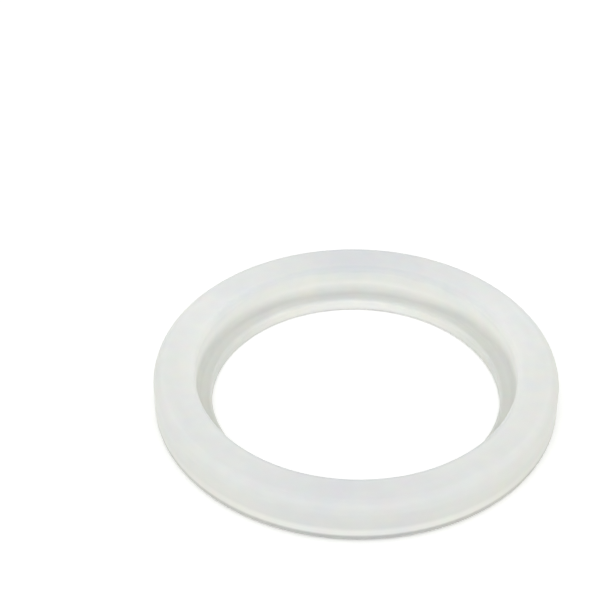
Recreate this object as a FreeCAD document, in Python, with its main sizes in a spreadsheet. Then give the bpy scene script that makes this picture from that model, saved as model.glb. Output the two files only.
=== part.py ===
import FreeCAD, Part
import math
import os
import Sketcher

# A group head gasket: one moulded silicone ring with a stepped bore.
# Its upright wall seats in the group's recess, and the lip round the foot of the
# bore reaches inward. The origin is on the ring's axis, in the plane it rests on.

doc = FreeCAD.newDocument("group_head_gasket")

# Driving dimensions, in millimetres
sizes = doc.addObject("Spreadsheet::Sheet", "Sizes")
dimensions = [
    ("outside_diameter", "73.0"),
    ("ring_height", "8.0"),
    ("wall_width", "7.5"),
    ("lip_reach", "2.8"),
    ("lip_thickness", "2.5"),
    ("shoulder_radius", "2.0"),
    ("foot_radius", "1.2"),
    ("rim_radius", "1.0"),
    ("root_radius", "1.0"),
    ("lip_edge_radius", "0.5"),
    ("lip_foot_radius", "0.3"),
]
for row, (alias, value) in enumerate(dimensions, start=1):
    sizes.set("A" + str(row), alias.replace("_", " "))
    sizes.set("B" + str(row), value)
    sizes.setAlias("B" + str(row), alias)
doc.recompute()


def origin_plane(body, role):
    return next(feature for feature in body.Origin.OriginFeatures if feature.Role == role)


def point(radius, height):
    return FreeCAD.Vector(radius, height, 0)


def line(start, end):
    return Part.LineSegment(point(*start), point(*end))


def corner(centre_radius, centre_height, radius, quarter):
    # A quarter turn of an arc, anticlockwise from the given quarter
    circle = Part.Circle(point(centre_radius, centre_height), FreeCAD.Vector(0, 0, 1), radius)
    right_angle = math.pi / 2
    return Part.ArcOfCircle(circle, quarter * right_angle, (quarter + 1) * right_angle)


ring = doc.addObject("PartDesign::Body", "GasketRing")
ring.Label = "gasket_ring"

# The ring's section, drawn once on the right of the axis
section = ring.newObject("Sketcher::SketchObject", "RingSection")
section.AttachmentSupport = [(origin_plane(ring, "XZ_Plane"), "")]
section.MapMode = "FlatFace"

outside = sizes.outside_diameter / 2
top = sizes.ring_height
bore = outside - sizes.wall_width
lip = bore - sizes.lip_reach
ledge = sizes.lip_thickness
shoulder = sizes.shoulder_radius
foot = sizes.foot_radius
rim = sizes.rim_radius
root = sizes.root_radius
lip_edge = sizes.lip_edge_radius
lip_foot = sizes.lip_foot_radius

underside_line = section.addGeometry(line((lip + lip_foot, 0), (outside - foot, 0)))
foot_arc = section.addGeometry(corner(outside - foot, foot, foot, 3))
wall_line = section.addGeometry(line((outside, foot), (outside, top - shoulder)))
shoulder_arc = section.addGeometry(corner(outside - shoulder, top - shoulder, shoulder, 0))
top_line = section.addGeometry(line((outside - shoulder, top), (bore + rim, top)))
rim_arc = section.addGeometry(corner(bore + rim, top - rim, rim, 1))
bore_line = section.addGeometry(line((bore, top - rim), (bore, ledge + root)))
root_arc = section.addGeometry(corner(bore - root, ledge + root, root, 3))
ledge_line = section.addGeometry(line((bore - root, ledge), (lip + lip_edge, ledge)))
lip_edge_arc = section.addGeometry(corner(lip + lip_edge, ledge - lip_edge, lip_edge, 1))
lip_line = section.addGeometry(line((lip, ledge - lip_edge), (lip, lip_foot)))
lip_foot_arc = section.addGeometry(corner(lip + lip_foot, lip_foot, lip_foot, 2))

# Each piece of the outline runs smoothly into the next, the hollow root arc the other way round
START = 1
END = 2
joins = [
    (underside_line, END, foot_arc, START),
    (foot_arc, END, wall_line, START),
    (wall_line, END, shoulder_arc, START),
    (shoulder_arc, END, top_line, START),
    (top_line, END, rim_arc, START),
    (rim_arc, END, bore_line, START),
    (bore_line, END, root_arc, END),
    (root_arc, START, ledge_line, START),
    (ledge_line, END, lip_edge_arc, START),
    (lip_edge_arc, END, lip_line, START),
    (lip_line, END, lip_foot_arc, START),
    (lip_foot_arc, END, underside_line, START),
]
for first, first_end, second, second_end in joins:
    section.addConstraint(Sketcher.Constraint("Tangent", first, first_end, second, second_end))
for flat in (underside_line, top_line, ledge_line):
    section.addConstraint(Sketcher.Constraint("Horizontal", flat))
for upright in (wall_line, bore_line, lip_line):
    section.addConstraint(Sketcher.Constraint("Vertical", upright))

ORIGIN = -1
section.addConstraint(Sketcher.Constraint("PointOnObject", underside_line, START, ORIGIN))


def driven(expression, *constraint):
    # A size of the section that follows the spreadsheet
    index = section.addConstraint(Sketcher.Constraint(*constraint))
    section.setExpression("Constraints[" + str(index) + "]", "Sizes." + expression)


driven("outside_diameter / 2", "DistanceX", ORIGIN, START, wall_line, START, outside)
driven("ring_height", "DistanceY", ORIGIN, START, top_line, START, top)
driven("wall_width", "DistanceX", bore_line, START, wall_line, START, outside - bore)
driven("lip_reach", "DistanceX", lip_line, START, bore_line, START, bore - lip)
driven("lip_thickness", "DistanceY", ORIGIN, START, ledge_line, START, ledge)
driven("shoulder_radius", "Radius", shoulder_arc, shoulder)
driven("foot_radius", "Radius", foot_arc, foot)
driven("rim_radius", "Radius", rim_arc, rim)
driven("root_radius", "Radius", root_arc, root)
driven("lip_edge_radius", "Radius", lip_edge_arc, lip_edge)
driven("lip_foot_radius", "Radius", lip_foot_arc, lip_foot)

# The section turned once round the upright axis
turned_ring = ring.newObject("PartDesign::Revolution", "TurnedRing")
turned_ring.Profile = section
turned_ring.ReferenceAxis = (section, ["V_Axis"])
turned_ring.Angle = 360.0
ring.Tip = turned_ring
ring.Placement = FreeCAD.Placement(FreeCAD.Vector(0, 0, 0), FreeCAD.Rotation())

doc.recompute()

for feature in doc.Objects:
    for fault in ("Invalid", "Error"):
        if fault in feature.State:
            raise RuntimeError(feature.Label + " did not rebuild")
if not section.FullyConstrained:
    raise RuntimeError("the ring's section is not fully constrained")
if ring.Shape.isNull() or not ring.Shape.isValid():
    raise RuntimeError(ring.Label + " has no valid shape")

os.makedirs("parts", exist_ok=True)
ring.Shape.exportStep("parts/" + ring.Label + ".step")
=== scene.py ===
import math

import bpy
from mathutils import Matrix, Vector


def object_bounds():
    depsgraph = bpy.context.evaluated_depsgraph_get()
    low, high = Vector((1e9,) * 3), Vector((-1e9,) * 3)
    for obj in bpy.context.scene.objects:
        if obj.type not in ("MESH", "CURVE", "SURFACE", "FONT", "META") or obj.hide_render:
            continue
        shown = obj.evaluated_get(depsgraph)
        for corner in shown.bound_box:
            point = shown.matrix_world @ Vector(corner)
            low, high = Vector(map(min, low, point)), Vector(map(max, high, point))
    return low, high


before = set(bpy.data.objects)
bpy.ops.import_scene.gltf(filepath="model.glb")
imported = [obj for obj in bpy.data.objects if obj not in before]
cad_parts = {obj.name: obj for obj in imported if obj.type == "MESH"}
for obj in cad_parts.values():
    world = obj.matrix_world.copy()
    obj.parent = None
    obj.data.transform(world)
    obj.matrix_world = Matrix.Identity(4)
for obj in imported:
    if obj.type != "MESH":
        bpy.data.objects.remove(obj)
cad_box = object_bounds()

# The ring's sizes in metres: the frame gives its radius and height, and its section the rest
OUTSIDE_RADIUS = cad_box[1].x
RING_HEIGHT = cad_box[1].z
WALL_WIDTH = 0.0075
LIP_REACH = 0.0028
RIM_RADIUS = 0.001
FOOT_RADIUS = 0.0012
BORE_RADIUS = OUTSIDE_RADIUS - WALL_WIDTH
LIP_RADIUS = BORE_RADIUS - LIP_REACH

# The photograph's view of the ring: angles in degrees, distances in metres, sensor in millimetres
ELEVATION = 41.2
ROLL = 1.18
VIEW_DISTANCE = 9.0 * OUTSIDE_RADIUS
NEAREST_SEEN = 0.01
SENSOR_WIDTH = 36.0
IMAGE_PIXELS = 600
PIXELS_PER_RADIUS = 199.6
BASE_CENTRE_PIXEL = (355.9, 399.1)

# Tones of the inner side, the rubber's white with painted light in it: a painted highlight on the
# lip and the
# bore wall and painted shade in the crease at the root, first at the front and back and then at the
# sides:
# (climb in metres, colour), where the climb is the height above the ground plus the distance from
# the hole's edge
WHOLE_CLIMB = RING_HEIGHT + LIP_REACH + RIM_RADIUS
INSIDE_PAINTED_LIGHT_TONES = [
    (0.0003, (0.895, 0.89, 0.855)),
    (0.0010, (0.935, 0.93, 0.89)),
    (0.0020, (0.87, 0.865, 0.825)),
    (0.0027, (0.725, 0.73, 0.705)),
    (0.0044, (0.695, 0.70, 0.675)),
    (0.0051, (0.76, 0.765, 0.735)),
    (0.0058, (0.84, 0.845, 0.81)),
    (0.0073, (0.92, 0.92, 0.875)),
    (0.0083, (0.855, 0.86, 0.825)),
    (0.0097, (0.815, 0.825, 0.81)),
    (0.0102, (0.735, 0.745, 0.745)),
    (0.0112, (0.70, 0.715, 0.725)),
]
INSIDE_SIDE_PAINTED_LIGHT_TONES = [
    (0.0020, (0.73, 0.74, 0.695)),
    (0.0026, (0.69, 0.695, 0.66)),
    (0.0032, (0.71, 0.715, 0.675)),
    (0.0043, (0.78, 0.785, 0.745)),
    (0.0057, (0.78, 0.785, 0.74)),
    (0.0068, (0.825, 0.83, 0.78)),
    (0.0083, (0.94, 0.945, 0.885)),
    (0.0090, (0.935, 0.94, 0.885)),
    (0.0100, (0.875, 0.88, 0.835)),
    (0.0112, (0.845, 0.85, 0.815)),
]
# Between the front or back and the sides the painted shade in the crease is deeper and the painted
# light around it brighter: (climb in metres, level)
DIAGONAL_PAINTED_SHADE_LEVELS = [
    (0.0015, 1.01),
    (0.0030, 1.035),
    (0.0037, 1.04),
    (0.0043, 1.01),
    (0.0048, 0.965),
    (0.0054, 0.955),
    (0.0061, 1.0),
    (0.0067, 1.02),
    (0.0075, 1.02),
    (0.0085, 1.0),
]
# How much of that a place has, from the front or back of the ring, 0, to its side, 1
DIAGONAL_PAINTED_SHADE_SHARES = [
    (0.0, 0.0),
    (0.2, 0.9),
    (0.4, 1.0),
    (0.6, 0.5),
    (0.85, 0.0),
]
# How far the inner tones, with their painted highlight and painted shade, wander up and down, in
# metres
CLIMB_WANDER = 0.00025

# Tones of the top and the outer side, the rubber's white with painted light in it: a painted shadow
# along the foot, a painted highlight line above it and painted shade on the wall and shoulder, at
# the front and back
# and then at the sides: (height in metres, colour)
OUTSIDE_PAINTED_LIGHT_TONES = [
    (0.00130, (0.55, 0.545, 0.525)),
    (0.00182, (0.865, 0.855, 0.82)),
    (0.00250, (0.865, 0.855, 0.82)),
    (0.00330, (0.75, 0.75, 0.725)),
    (0.00700, (0.755, 0.755, 0.74)),
    (0.00760, (0.781, 0.781, 0.768)),
    (0.00785, (0.786, 0.786, 0.776)),
    (0.00796, (0.793, 0.793, 0.783)),
    (0.00800, (0.81, 0.81, 0.80)),
]
OUTSIDE_SIDE_PAINTED_LIGHT_TONES = [
    (0.00150, (0.61, 0.605, 0.58)),
    (0.00190, (0.725, 0.72, 0.69)),
    (0.00305, (0.745, 0.745, 0.71)),
    (0.00720, (0.755, 0.755, 0.73)),
    (0.00780, (0.785, 0.785, 0.77)),
    (0.00798, (0.815, 0.815, 0.805)),
]
# Painted light and shade on the top and the outer side, lighter or darker from the front of the
# ring, 0, to its back, 1
FRONT_TO_BACK_PAINTED_LIGHT = [
    (0.0, (0.965, 0.975, 0.985)),
    (0.07, (1.015, 1.02, 1.0)),
    (0.25, (1.02, 1.025, 1.0)),
    (0.5, (1.025, 1.035, 1.005)),
    (0.75, (1.078, 1.088, 1.068)),
    (0.93, (1.02, 1.03, 1.02)),
    (1.0, (0.97, 0.98, 0.99)),
]
# At the sides the top has a painted highlight towards the bore: (distance outwards from the bore in
# metres, level)
SIDE_TOP_PAINTED_HIGHLIGHT = [
    (0.0010, 1.015),
    (0.0026, 1.014),
    (0.0042, 1.0),
    (0.0065, 0.992),
]
# The inner tones give way to the outer ones between these distances outwards from the bore
RIM_BLEND_START = 0.0004
RIM_BLEND_END = 0.0012

# The underside's tone: full below one height, gone above the other, and blended out into the
# rounded foot over a width, all in metres
UNDERSIDE_TONE = [(0.0, (0.75, 0.75, 0.73))]
UNDERSIDE_FULL_HEIGHT = 0.0001
UNDERSIDE_GONE_HEIGHT = 0.0003
FOOT_BLEND = 0.0005

# How fine each unevenness of the silicone is, in noise cells to the metre
WANDER_FINENESS = 130.0
CLOUD_FINENESS = 90.0
PEARL_FINENESS = 350.0
STREAK_FINENESS = 600.0
GRAIN_FINENESS = 1800.0
# Layers of ever finer noise in each, and the levels that noise mostly keeps between
NOISE_DETAIL = 2.0
CLOUD_DETAIL = 3.0
NOISE_LOW = 0.3
NOISE_HIGH = 0.7
# Its clouds drift between a cool and a warm white
COOL_CLOUD = (0.975, 0.985, 1.0)
WARM_CLOUD = (1.02, 1.015, 1.0)
# How much each colour drifts by itself in the pearly mottling
PEARL_DRIFT = 0.085
# How fast the streaks change across, along and up the ring, beside once for every metre outwards
STREAK_STRETCH = (0.12, 0.2, 1.0)
# How far a streak is lighter or darker
STREAK_DRIFT = 0.007

# The skin: a satin roughness that drifts with the clouds, and a fine grain, its depth in metres
ROUGHNESS_LOW = 0.36
ROUGHNESS_HIGH = 0.48
GRAIN_STRENGTH = 0.05
GRAIN_DEPTH = 0.0001
SILICONE_IOR = 1.41
# How far light travels inside the milky rubber, in metres
SCATTER_DISTANCE = 0.001

# The ground: its colour, its own glow and how far below the ring it lies, in metres
FLOOR_COLOUR = (0.95, 0.95, 0.935)
FLOOR_ROUGHNESS = 0.95
FLOOR_GLOW = (1.0, 1.0, 0.985)
FLOOR_LIFT = 0.25
FLOOR_HALF_WIDTH = 3.0
FLOOR_DROP = 0.00002

# The light: a pale sky that dims to the back, and a soft lamp in front
SKY_COLOUR = (0.99, 1.0, 1.01)
SKY_FRONT = 1.0
SKY_BACK = 0.7
FRONT_LAMP_PLACE = (-0.1, -0.6, 0.7)
FRONT_LAMP_POWER = 1.0
FRONT_LAMP_WIDTH = 0.6


def new_material(name):
    material = bpy.data.materials.new(name)
    material.use_nodes = True
    shader = material.node_tree.nodes["Principled BSDF"]
    return material, material.node_tree, shader


def add_noise(tree, place, fineness, detail=NOISE_DETAIL):
    noise = tree.nodes.new("ShaderNodeTexNoise")
    noise.inputs["Scale"].default_value = fineness
    noise.inputs["Detail"].default_value = detail
    tree.links.new(place, noise.inputs["Vector"])
    return noise.outputs


def add_range(tree, value, low, high, to_low, to_high):
    spread = tree.nodes.new("ShaderNodeMapRange")
    spread.inputs["From Min"].default_value = low
    spread.inputs["From Max"].default_value = high
    spread.inputs["To Min"].default_value = to_low
    spread.inputs["To Max"].default_value = to_high
    tree.links.new(value, spread.inputs["Value"])
    return spread.outputs["Result"]


def add_drift(tree, noise, low, high):
    # A value that follows a noise between a low and a high
    return add_range(tree, noise, NOISE_LOW, NOISE_HIGH, low, high)


def add_ramp(tree, value, stops):
    ramp = tree.nodes.new("ShaderNodeValToRGB")
    elements = ramp.color_ramp.elements
    elements.remove(elements[1])
    elements[0].position = stops[0][0]
    elements[0].color = (*stops[0][1], 1.0)
    for position, colour in stops[1:]:
        elements.new(position).color = (*colour, 1.0)
    tree.links.new(value, ramp.inputs["Fac"])
    return ramp.outputs["Color"]


def add_tones(tree, value, start, span, tones):
    # A ramp whose stops are distances in metres from its start
    along = add_range(tree, value, start, start + span, 0.0, 1.0)
    return add_ramp(tree, along, [(distance / span, colour) for distance, colour in tones])


def grey_stops(levels):
    return [(position, (level, level, level)) for position, level in levels]


def add_mix(tree, blend, factor, first, second):
    mix = tree.nodes.new("ShaderNodeMix")
    mix.data_type = "RGBA"
    mix.blend_type = blend
    if isinstance(factor, float):
        mix.inputs["Factor"].default_value = factor
    else:
        tree.links.new(factor, mix.inputs["Factor"])
    tree.links.new(first, mix.inputs["A"])
    tree.links.new(second, mix.inputs["B"])
    return mix.outputs["Result"]


def add_math(tree, operation, first, second):
    maths = tree.nodes.new("ShaderNodeMath")
    maths.operation = operation
    tree.links.new(first, maths.inputs[0])
    tree.links.new(second, maths.inputs[1])
    return maths.outputs["Value"]


def add_vector_math(tree, operation, first, *others):
    # Each of the others is a constant, as a tuple, or another node's output
    maths = tree.nodes.new("ShaderNodeVectorMath")
    maths.operation = operation
    tree.links.new(first, maths.inputs[0])
    for index, other in enumerate(others, start=1):
        if isinstance(other, tuple):
            maths.inputs[index].default_value = other
        else:
            tree.links.new(other, maths.inputs[index])
    return maths.outputs


def add_places(tree):
    # Where a point of the ring is: its place, its distance from the axis and its height
    place = tree.nodes.new("ShaderNodeTexCoord").outputs["Object"]
    split = tree.nodes.new("ShaderNodeSeparateXYZ")
    tree.links.new(place, split.inputs["Vector"])
    flat = add_vector_math(tree, "MULTIPLY", place, (1.0, 1.0, 0.0))["Vector"]
    radius = add_vector_math(tree, "LENGTH", flat)["Value"]
    # How far round it is from the front and back: 0 there, 1 at the two sides
    across = add_math(tree, "DIVIDE", split.outputs["X"], radius)
    sideways = add_math(tree, "MULTIPLY", across, across)
    # How far round it is from the front, 0, to the back, 1
    along = add_math(tree, "DIVIDE", split.outputs["Y"], radius)
    backward = add_range(tree, along, -1.0, 1.0, 0.0, 1.0)
    return place, radius, split.outputs["Z"], sideways, backward


def add_inner_painted_light(tree, place, radius, height, sideways):
    # The painted highlight and painted shade up the inner side wander a little
    noise = add_noise(tree, place, WANDER_FINENESS)["Fac"]
    wander = add_drift(tree, noise, -CLIMB_WANDER, CLIMB_WANDER)
    climb = add_math(tree, "ADD", add_math(tree, "ADD", height, radius), wander)
    # Painted highlight on the lip and bore wall, painted shade in the crease at the root
    front_and_back = add_tones(tree, climb, LIP_RADIUS, WHOLE_CLIMB, INSIDE_PAINTED_LIGHT_TONES)
    side = add_tones(tree, climb, LIP_RADIUS, WHOLE_CLIMB, INSIDE_SIDE_PAINTED_LIGHT_TONES)
    tone = add_mix(tree, "MIX", sideways, front_and_back, side)
    # Painted shade deepened in the crease between the front or back and the sides
    share = add_ramp(tree, sideways, grey_stops(DIAGONAL_PAINTED_SHADE_SHARES))
    diagonal = add_tones(tree, climb, LIP_RADIUS, WHOLE_CLIMB, grey_stops(DIAGONAL_PAINTED_SHADE_LEVELS))
    return add_mix(tree, "MULTIPLY", share, tone, diagonal)


def add_outer_painted_light(tree, radius, height, sideways, backward):
    # Painted shadow along the foot, painted highlight line above it, painted shade on the wall and
    # shoulder
    front_and_back = add_tones(tree, height, 0.0, RING_HEIGHT, OUTSIDE_PAINTED_LIGHT_TONES)
    side = add_tones(tree, height, 0.0, RING_HEIGHT, OUTSIDE_SIDE_PAINTED_LIGHT_TONES)
    tone = add_mix(tree, "MIX", sideways, front_and_back, side)
    # Painted light and shade that changes from the front of the ring to its back
    tone = add_mix(tree, "MULTIPLY", 1.0, tone, add_ramp(tree, backward, FRONT_TO_BACK_PAINTED_LIGHT))
    # Painted highlight on the top at the sides, towards the bore
    side_top_highlight = add_tones(tree, radius, BORE_RADIUS, WALL_WIDTH, grey_stops(SIDE_TOP_PAINTED_HIGHLIGHT))
    return add_mix(tree, "MULTIPLY", sideways, tone, side_top_highlight)


def add_underside(tree, tone, radius, height):
    near_ground = add_range(tree, height, UNDERSIDE_FULL_HEIGHT, UNDERSIDE_GONE_HEIGHT, 1.0, 0.0)
    foot_start = OUTSIDE_RADIUS - FOOT_RADIUS
    within_foot = add_range(tree, radius, foot_start, foot_start + FOOT_BLEND, 1.0, 0.0)
    under = add_math(tree, "MULTIPLY", near_ground, within_foot)
    return add_mix(tree, "MIX", under, tone, add_ramp(tree, under, UNDERSIDE_TONE))


def add_mottling(tree, tone, place, cloud):
    # Faint clouds and a pearly mottling in the milky rubber
    clouds = add_ramp(tree, cloud, [(NOISE_LOW, COOL_CLOUD), (NOISE_HIGH, WARM_CLOUD)])
    tone = add_mix(tree, "MULTIPLY", 1.0, tone, clouds)
    colours = add_noise(tree, place, PEARL_FINENESS)["Color"]
    drift = (PEARL_DRIFT, PEARL_DRIFT, PEARL_DRIFT)
    lowest = 1.0 - PEARL_DRIFT / 2
    pearl = add_vector_math(tree, "MULTIPLY_ADD", colours, drift, (lowest, lowest, lowest))["Vector"]
    return add_mix(tree, "MULTIPLY", 1.0, tone, pearl)


def add_streaks(tree, tone, place, radius):
    # Fainter streaks that run round the ring
    stretched = add_vector_math(tree, "MULTIPLY", place, STREAK_STRETCH)["Vector"]
    outwards = tree.nodes.new("ShaderNodeCombineXYZ")
    tree.links.new(radius, outwards.inputs["X"])
    streak_place = add_vector_math(tree, "ADD", stretched, outwards.outputs["Vector"])["Vector"]
    noise = add_noise(tree, streak_place, STREAK_FINENESS)["Fac"]
    level = add_drift(tree, noise, 1.0 - STREAK_DRIFT, 1.0 + STREAK_DRIFT)
    return add_mix(tree, "MULTIPLY", 1.0, tone, level)


def add_skin(tree, shader, place, cloud):
    # A satin skin, a little uneven, with a very fine grain
    roughness = add_drift(tree, cloud, ROUGHNESS_LOW, ROUGHNESS_HIGH)
    tree.links.new(roughness, shader.inputs["Roughness"])
    bump = tree.nodes.new("ShaderNodeBump")
    bump.inputs["Strength"].default_value = GRAIN_STRENGTH
    bump.inputs["Distance"].default_value = GRAIN_DEPTH
    tree.links.new(add_noise(tree, place, GRAIN_FINENESS)["Fac"], bump.inputs["Height"])
    tree.links.new(bump.outputs["Normal"], shader.inputs["Normal"])


def silicone():
    material, tree, shader = new_material("milky_silicone")
    place, radius, height, sideways, backward = add_places(tree)
    inside = add_inner_painted_light(tree, place, radius, height, sideways)
    outside = add_outer_painted_light(tree, radius, height, sideways, backward)
    blend_start = BORE_RADIUS + RIM_BLEND_START
    blend_end = BORE_RADIUS + RIM_BLEND_END
    outward = add_range(tree, radius, blend_start, blend_end, 0.0, 1.0)
    tone = add_mix(tree, "MIX", outward, inside, outside)
    tone = add_underside(tree, tone, radius, height)
    cloud = add_noise(tree, place, CLOUD_FINENESS, CLOUD_DETAIL)["Fac"]
    tone = add_mottling(tree, tone, place, cloud)
    tone = add_streaks(tree, tone, place, radius)
    tree.links.new(tone, shader.inputs["Base Color"])
    add_skin(tree, shader, place, cloud)
    shader.inputs["IOR"].default_value = SILICONE_IOR
    shader.inputs["Subsurface Weight"].default_value = 1.0
    shader.inputs["Subsurface Radius"].default_value = (1.0, 1.0, 1.0)
    shader.inputs["Subsurface Scale"].default_value = SCATTER_DISTANCE
    return material


def floor_material():
    material, tree, shader = new_material("pale_floor")
    nodes, links = tree.nodes, tree.links
    shader.inputs["Base Color"].default_value = (*FLOOR_COLOUR, 1.0)
    shader.inputs["Roughness"].default_value = FLOOR_ROUGHNESS
    shader.inputs["Specular IOR Level"].default_value = 0.0
    shader.inputs["Emission Color"].default_value = (*FLOOR_GLOW, 1.0)
    # Its glow shows only to the camera's, glossy and transmitted rays
    light_path = nodes.new("ShaderNodeLightPath")
    seen = light_path.outputs["Is Camera Ray"]
    for ray in ("Is Glossy Ray", "Is Transmission Ray"):
        either = nodes.new("ShaderNodeMath")
        either.operation = "MAXIMUM"
        links.new(seen, either.inputs[0])
        links.new(light_path.outputs[ray], either.inputs[1])
        seen = either.outputs["Value"]
    lift = add_range(tree, seen, 0.0, 1.0, 0.0, FLOOR_LIFT)
    links.new(lift, shader.inputs["Emission Strength"])
    return material


def dress_ring(material):
    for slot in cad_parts["gasket_ring"].material_slots:
        slot.material = material


def add_floor():
    bpy.ops.mesh.primitive_plane_add(size=2 * FLOOR_HALF_WIDTH, location=(0, 0, -FLOOR_DROP))
    floor = bpy.context.object
    floor.name = "floor"
    floor.data.materials.append(floor_material())


def add_world():
    world = bpy.data.worlds.new("studio_sky")
    world.use_nodes = True
    nodes, links = world.node_tree.nodes, world.node_tree.links
    background = nodes["Background"]
    background.inputs["Color"].default_value = (*SKY_COLOUR, 1.0)
    split = nodes.new("ShaderNodeSeparateXYZ")
    links.new(nodes.new("ShaderNodeTexCoord").outputs["Generated"], split.inputs["Vector"])
    level = add_range(world.node_tree, split.outputs["Y"], -1.0, 1.0, SKY_FRONT, SKY_BACK)
    links.new(level, background.inputs["Strength"])
    bpy.context.scene.world = world


def add_lamp(name, place, width, power):
    light = bpy.data.lights.new(name, "AREA")
    light.shape = "DISK"
    light.size = width
    light.energy = power
    lamp = bpy.data.objects.new(name, light)
    lamp.location = place
    lamp.rotation_euler = (-Vector(place)).to_track_quat("-Z", "Y").to_euler()
    bpy.context.collection.objects.link(lamp)


def add_camera():
    data = bpy.data.cameras.new("camera")
    data.sensor_width = SENSOR_WIDTH
    data.lens = PIXELS_PER_RADIUS * VIEW_DISTANCE / OUTSIDE_RADIUS * SENSOR_WIDTH / IMAGE_PIXELS
    data.clip_start = NEAREST_SEEN
    half = IMAGE_PIXELS / 2
    data.shift_x = (half - BASE_CENTRE_PIXEL[0]) / IMAGE_PIXELS
    data.shift_y = (BASE_CENTRE_PIXEL[1] - half) / IMAGE_PIXELS
    camera = bpy.data.objects.new("camera", data)
    rise = math.radians(ELEVATION)
    away = Vector((0, -math.cos(rise), math.sin(rise)))
    tilt = Matrix.Rotation(math.pi / 2 - rise, 4, "X")
    roll = Matrix.Rotation(math.radians(ROLL), 4, "Z")
    camera.matrix_world = Matrix.Translation(away * VIEW_DISTANCE) @ tilt @ roll
    bpy.context.collection.objects.link(camera)
    bpy.context.scene.camera = camera


dress_ring(silicone())
add_floor()
add_world()
add_lamp("front_softbox", FRONT_LAMP_PLACE, FRONT_LAMP_WIDTH, FRONT_LAMP_POWER)
add_camera()

bpy.context.scene.view_settings.view_transform = "Standard"
